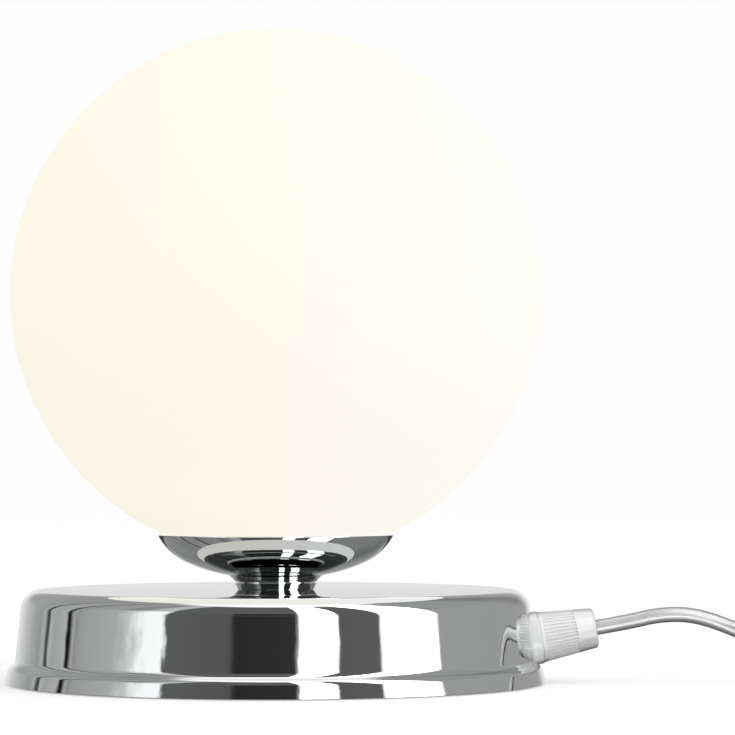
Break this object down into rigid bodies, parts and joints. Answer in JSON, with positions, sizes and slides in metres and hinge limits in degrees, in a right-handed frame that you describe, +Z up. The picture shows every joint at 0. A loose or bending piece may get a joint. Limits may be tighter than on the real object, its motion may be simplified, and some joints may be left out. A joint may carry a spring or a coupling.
{
  "type": "globe table lamp",
  "caption": "Low table lamp with an opal glass globe standing in a polished metal cup on a drum base, with a ribbed cord grip, in-line rocker switch and plug.",
  "frame": {"origin": "on the table under the middle of the round base", "axes": "+Z up along the lamp's axis; the flex leaves the base towards +X; the picture looks along +Y"},
  "size_m": [0.3775, 0.1589, 0.1725],
  "materials": {
    "chrome": "polished",
    "opal_glass": "satin opal",
    "plated_steel": "zinc plated",
    "felt": "felt",
    "ring_rubber": "matt silicone",
    "holder_plastic": "moulded",
    "contact_brass": "bright",
    "insulator_black": "glazed",
    "bulb_plastic": "moulded",
    "bulb_diffuser": "frosted",
    "clear_plastic": "clear",
    "flex_sheath": "silver-clear, glossy",
    "core_insulation": "glossy",
    "accessory_plastic": "moulded",
    "rocker_plastic": "moulded",
    "tie_plastic": "flat strap",
    "pin_metal": "nickel plated"
  },
  "bodies": {
    "base": {"base_shell": "chrome", "base_plate": "plated_steel", "plate_posts": "plated_steel", "plate_screws": "plated_steel", "felt_pad": "felt", "neck_collar": "chrome", "gallery_cup": "chrome", "neck_ring": "ring_rubber", "neck_spring": "plated_steel", "threaded_tube": "plated_steel", "tube_washer": "plated_steel", "tube_nut": "plated_steel", "holder_base": "holder_plastic", "contact_block": "holder_plastic", "holder_sleeve": "holder_plastic", "screw_shell": "contact_brass", "centre_contact": "contact_brass", "grip_body": "clear_plastic", "grip_nut": "clear_plastic", "grip_cap": "clear_plastic", "inner_cord": "flex_sheath", "core_leads": "core_insulation", "cord_to_switch": "flex_sheath", "switch_lower": "accessory_plastic", "switch_upper": "accessory_plastic", "switch_screws": "plated_steel", "cord_to_coil": "flex_sheath", "cord_coil": "flex_sheath", "coil_tie": "tie_plastic", "cord_to_plug": "flex_sheath", "plug_relief": "accessory_plastic", "plug_body": "accessory_plastic", "plug_pins": "pin_metal"},
    "globe": {"glass_globe": "opal_glass"},
    "bulb": {"bulb_tip": "contact_brass", "bulb_insulator": "insulator_black", "bulb_cap": "plated_steel", "bulb_body": "bulb_plastic", "bulb_dome": "bulb_diffuser"},
    "rocker": {"switch_rocker": "rocker_plastic"}
  },
  "joints": [
    {"name": "globe_lift", "type": "slide", "parent": "base", "child": "globe", "axis": [0, 0, 1], "range_m": [0, 0.1]},
    {"name": "bulb_lift", "type": "slide", "parent": "base", "child": "bulb", "axis": [0, 0, 1], "range_m": [0, 0.028]},
    {"name": "switch_rock", "type": "hinge", "parent": "base", "child": "rocker", "pos_m": [0.22295, 0.00119, 0.01], "axis": [-0.866, 0.5, 0], "range_deg": [0, 16]}
  ]
}
